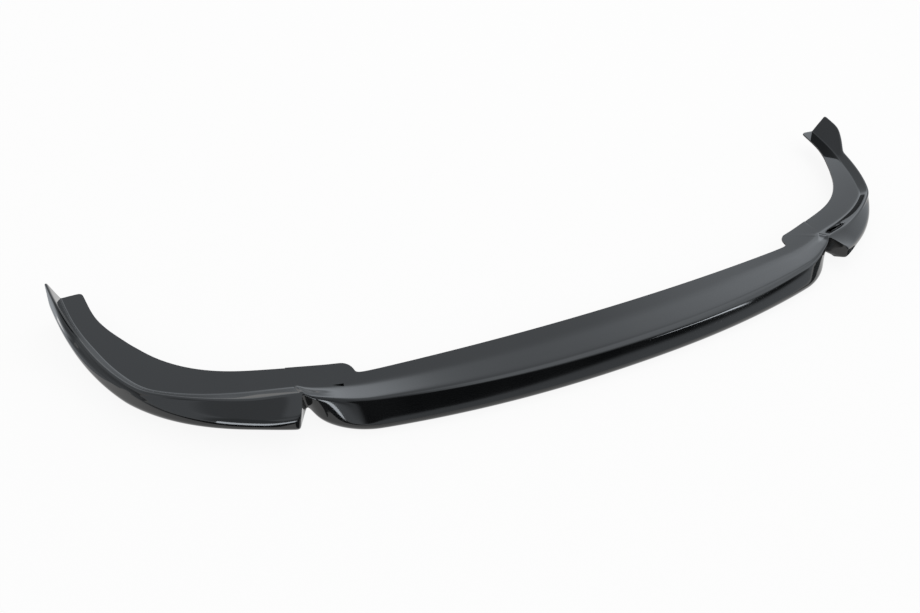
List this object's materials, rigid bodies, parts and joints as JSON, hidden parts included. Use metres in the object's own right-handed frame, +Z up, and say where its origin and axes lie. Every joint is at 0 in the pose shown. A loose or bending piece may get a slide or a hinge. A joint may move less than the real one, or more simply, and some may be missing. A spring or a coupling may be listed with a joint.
{
  "type": "front splitter lip",
  "caption": "Gloss-black front splitter lip: a bull-nosed centre and two swept wings with a flat mounting flange, parted by notches, and an upright fin at each rear end.",
  "frame": {"origin": "middle of the lip's underside, at the centre of its overall box in plan", "axes": "+X across the car, with the nose towards the viewer; +Y to the car's rear; +Z up, square to the flat mounting flange"},
  "size_m": [1.708, 0.43, 0.083],
  "materials": {
    "gloss_black_abs": "moulded ABS sheet in piano black, polished"
  },
  "bodies": {
    "root": {"splitter_lip": "gloss_black_abs"}
  },
  "joints": []
}
